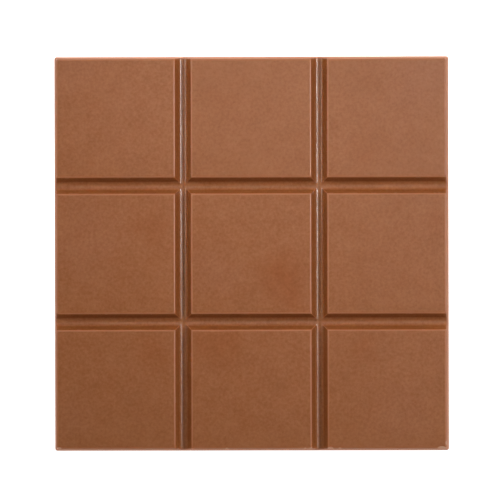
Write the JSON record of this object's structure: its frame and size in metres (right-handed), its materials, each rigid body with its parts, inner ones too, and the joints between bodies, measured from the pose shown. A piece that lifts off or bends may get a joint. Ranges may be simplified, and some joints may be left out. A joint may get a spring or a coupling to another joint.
{
  "type": "chocolate bar",
  "caption": "Square bar of moulded milk chocolate, with straight grooves that divide its front into squares to snap off and a flat back.",
  "frame": {"origin": "middle of the flat back, which the bar rests on", "axes": "+Z out of the grooved front, and X and Y along the two sets of grooves"},
  "size_m": [0.09, 0.09, 0.01],
  "materials": {
    "milk_chocolate": "smooth moulded milk chocolate with a soft, slightly cloudy sheen"
  },
  "bodies": {
    "root": {"chocolate_bar": "milk_chocolate"}
  },
  "joints": []
}
